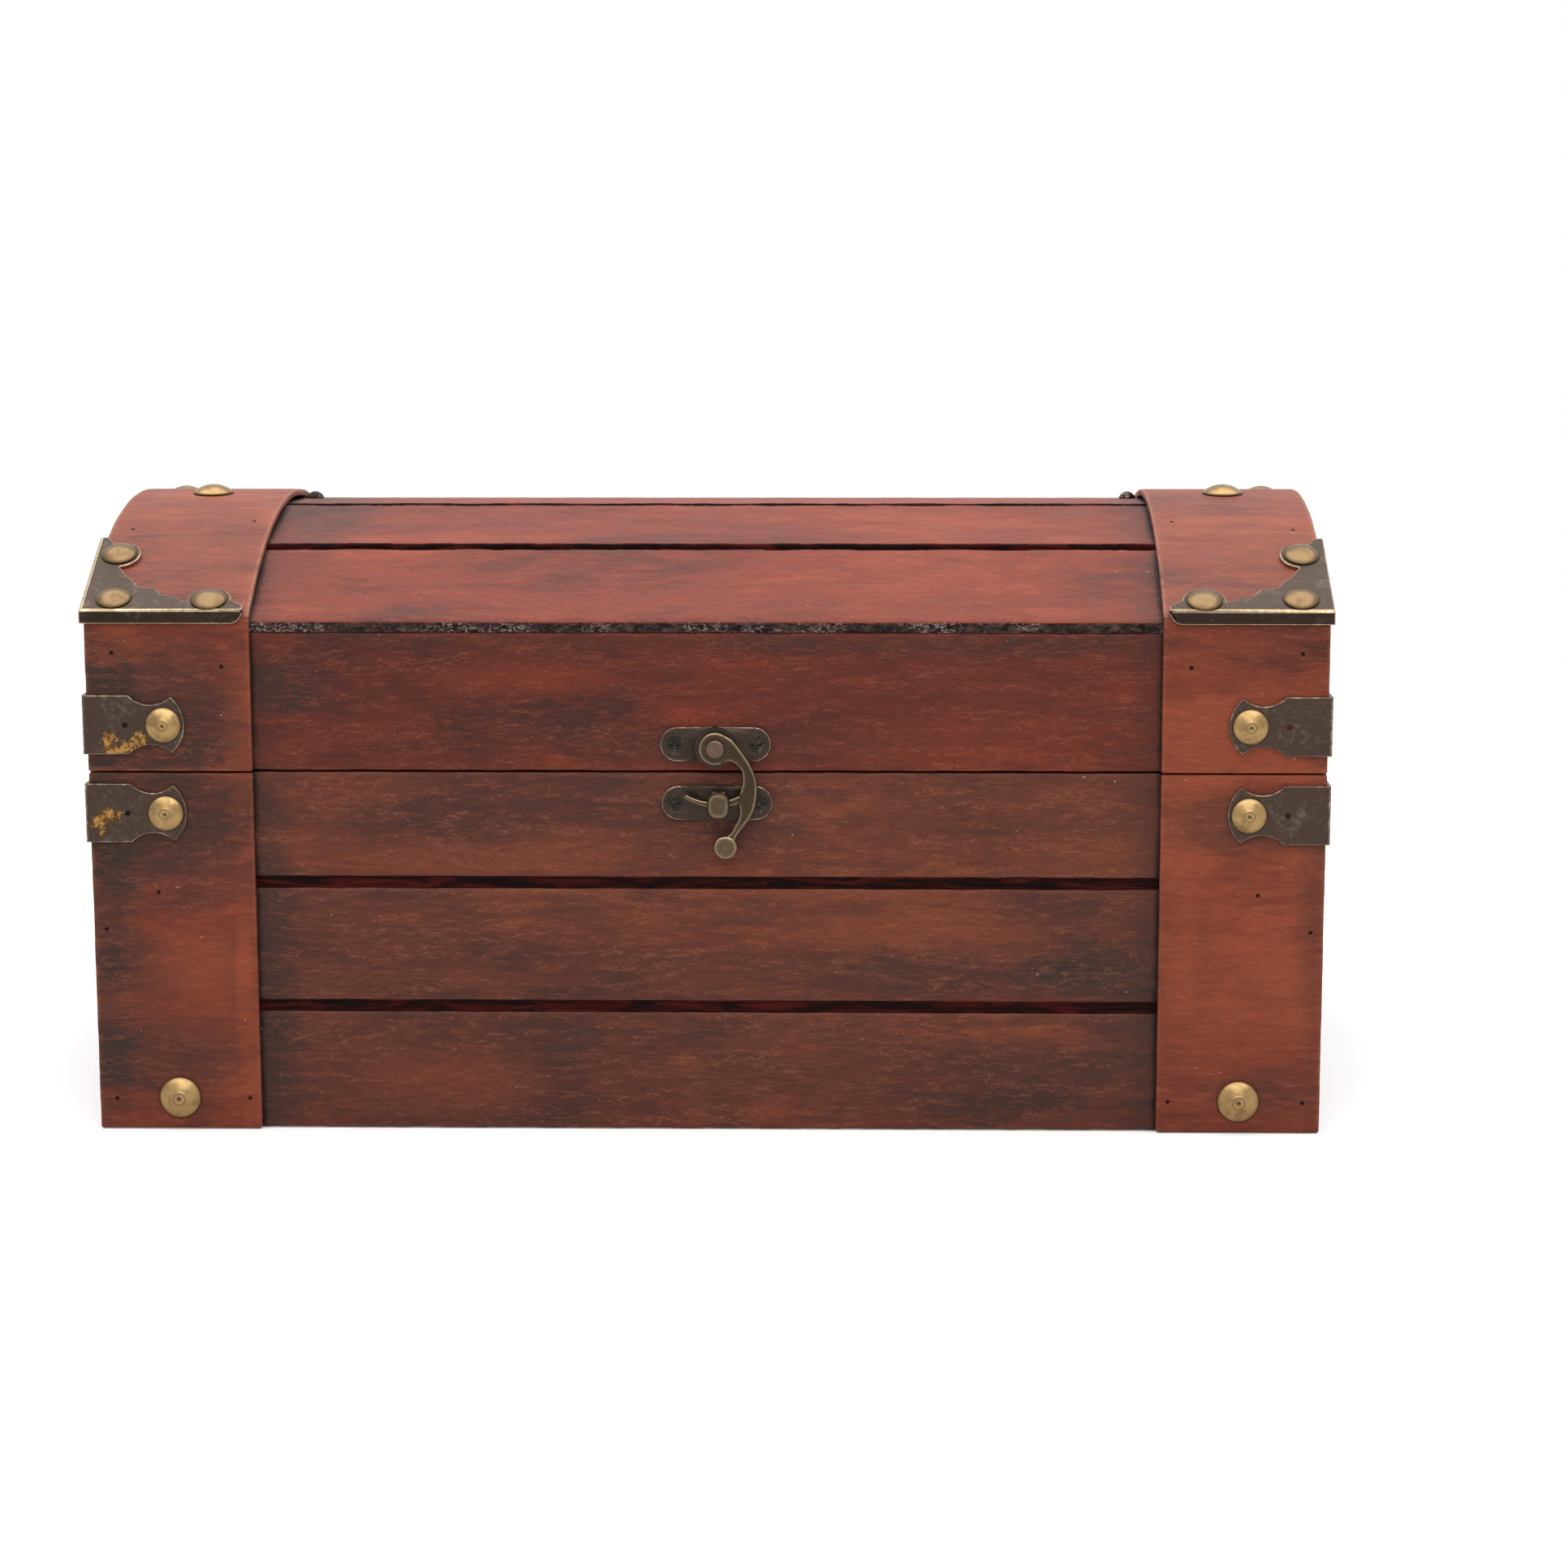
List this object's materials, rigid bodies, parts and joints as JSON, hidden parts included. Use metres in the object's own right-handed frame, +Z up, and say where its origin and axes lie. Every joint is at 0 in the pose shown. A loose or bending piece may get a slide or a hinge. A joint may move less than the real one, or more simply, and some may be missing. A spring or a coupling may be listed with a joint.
{
  "type": "treasure chest box",
  "caption": "Small arched wooden treasure chest with planked sides, a slatted hinged lid, bronze corner fittings, domed nails and a swing latch on the front.",
  "frame": {"origin": "middle of the chest's underside, which rests on the table", "axes": "+X along the length to the right as seen from the front, +Y from the front to the back, +Z up"},
  "size_m": [0.306, 0.1583, 0.1523],
  "materials": {
    "plank_wood": "stained, worn",
    "base_wood": "stained, matt",
    "slat_wood": "stained, satin",
    "band_wood": "stained, rough",
    "corner_bronze": "dark antique",
    "nail_brass": "antique",
    "latch_bronze": "dark antique",
    "hinge_bronze": "dark antique",
    "screw_steel": "dark",
    "brad_steel": "dark"
  },
  "bodies": {
    "chest": {"body_front_panel": "plank_wood", "body_back_panel": "plank_wood", "body_end_left": "plank_wood", "body_end_right": "plank_wood", "base_board": "base_wood", "body_band_front_left": "band_wood", "body_band_front_right": "band_wood", "body_band_back_left": "band_wood", "body_band_back_right": "band_wood", "body_strap_front_left": "corner_bronze", "body_strap_front_right": "corner_bronze", "body_strap_back_left": "corner_bronze", "body_strap_back_right": "corner_bronze", "body_strap_nails": "nail_brass", "body_band_nails": "nail_brass", "body_brads": "brad_steel", "keeper": "latch_bronze", "keeper_screws": "screw_steel", "hinge_left_body_leaf": "hinge_bronze", "hinge_right_body_leaf": "hinge_bronze", "hinge_left_pin": "hinge_bronze", "hinge_right_pin": "hinge_bronze", "hinge_body_screws": "screw_steel"},
    "lid": {"lid_front_panel": "plank_wood", "lid_back_panel": "plank_wood", "lid_end_left": "plank_wood", "lid_end_right": "plank_wood", "lid_slat_1": "slat_wood", "lid_slat_2": "slat_wood", "lid_slat_3": "slat_wood", "lid_slat_4": "slat_wood", "lid_slat_5": "slat_wood", "lid_band_front_left": "band_wood", "lid_band_front_right": "band_wood", "lid_band_back_left": "band_wood", "lid_band_back_right": "band_wood", "lid_band_arch_left": "band_wood", "lid_band_arch_right": "band_wood", "corner_bracket_front_left": "corner_bronze", "corner_bracket_front_right": "corner_bronze", "corner_bracket_back_left": "corner_bronze", "corner_bracket_back_right": "corner_bronze", "lid_strap_front_left": "corner_bronze", "lid_strap_front_right": "corner_bronze", "lid_strap_back_left": "corner_bronze", "lid_strap_back_right": "corner_bronze", "lid_strap_nails": "nail_brass", "bracket_nails": "nail_brass", "arch_band_nails": "nail_brass", "top_slat_pins": "nail_brass", "latch_plate": "latch_bronze", "latch_rivet": "latch_bronze", "hinge_left_lid_leaf": "hinge_bronze", "hinge_right_lid_leaf": "hinge_bronze", "latch_plate_screws": "screw_steel", "hinge_lid_screws": "screw_steel", "lid_brads": "brad_steel"},
    "latch": {"latch_arm": "latch_bronze"}
  },
  "joints": [
    {"name": "lid_hinge", "type": "hinge", "parent": "chest", "child": "lid", "pos_m": [0, 0.0754, 0.0894], "axis": [-1, 0, 0], "range_deg": [0, 110]},
    {"name": "latch_swing", "type": "hinge", "parent": "lid", "child": "latch", "pos_m": [0.0024, -0.076, 0.0956], "axis": [0, -1, 0], "range_deg": [0, 120]}
  ]
}
